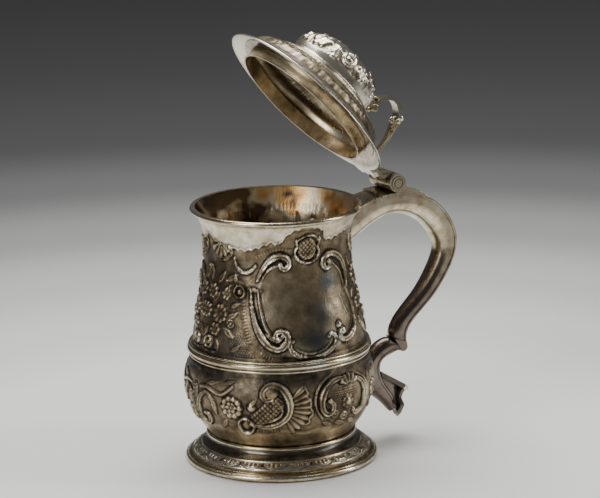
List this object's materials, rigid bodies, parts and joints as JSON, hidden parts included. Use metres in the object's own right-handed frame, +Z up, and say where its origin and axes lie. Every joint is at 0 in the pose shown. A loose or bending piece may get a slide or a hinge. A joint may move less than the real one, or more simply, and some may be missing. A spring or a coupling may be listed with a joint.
{
  "type": "lidded tankard",
  "caption": "Silver baluster tankard with a chased body, spreading foot, hollow double-scroll handle and a hinged domed lid with a scroll thumbpiece.",
  "frame": {"origin": "centre of the foot's resting face", "axes": "+Z up through the cup, +X towards the handle, the hinge pin parallel to Y; the lid stands 49.5 degrees open at rest"},
  "size_m": [0.1839, 0.1194, 0.2661],
  "materials": {
    "chased_silver": "chased and repousse silver with a dark, warm tarnish in the hollows",
    "polished_silver": "hand-worn smooth silver with patches of brown tarnish",
    "oxidised_silver": "reeded and engraved silver, dark in the quirks"
  },
  "bodies": {
    "vessel": {"upper_drum": "chased_silver", "lower_bowl": "chased_silver", "lip_moulding": "oxidised_silver", "girdle_moulding": "oxidised_silver", "foot_collar": "oxidised_silver", "foot_ring": "oxidised_silver", "foot_edge_wire": "oxidised_silver", "upper_handle_pad": "polished_silver", "lower_handle_pad": "polished_silver", "handle_upper_trough": "polished_silver", "handle_upper_strap": "polished_silver", "handle_lower_trough": "polished_silver", "handle_lower_strap": "polished_silver", "handle_spur": "polished_silver", "tail_shield": "polished_silver", "tail_bead": "polished_silver", "hinge_saddle": "polished_silver", "handle_knuckles": "polished_silver", "hinge_pin": "polished_silver", "hinge_end_caps": "polished_silver", "hinge_drop": "polished_silver"},
    "lid": {"lid_shell": "chased_silver", "lid_bezel": "polished_silver", "lid_step_moulding": "oxidised_silver", "lid_hinge_arm": "polished_silver", "lid_knuckles": "polished_silver", "lid_brim_tab": "polished_silver", "thumb_stem": "polished_silver", "thumb_scroll": "polished_silver", "thumb_volute": "polished_silver", "thumb_ball": "polished_silver"}
  },
  "joints": [
    {"name": "lid_hinge", "type": "hinge", "parent": "vessel", "child": "lid", "pos_m": [0.0789, 0, 0.1654], "axis": [0, 1, 0], "range_deg": [-49.5, 55.5]}
  ]
}
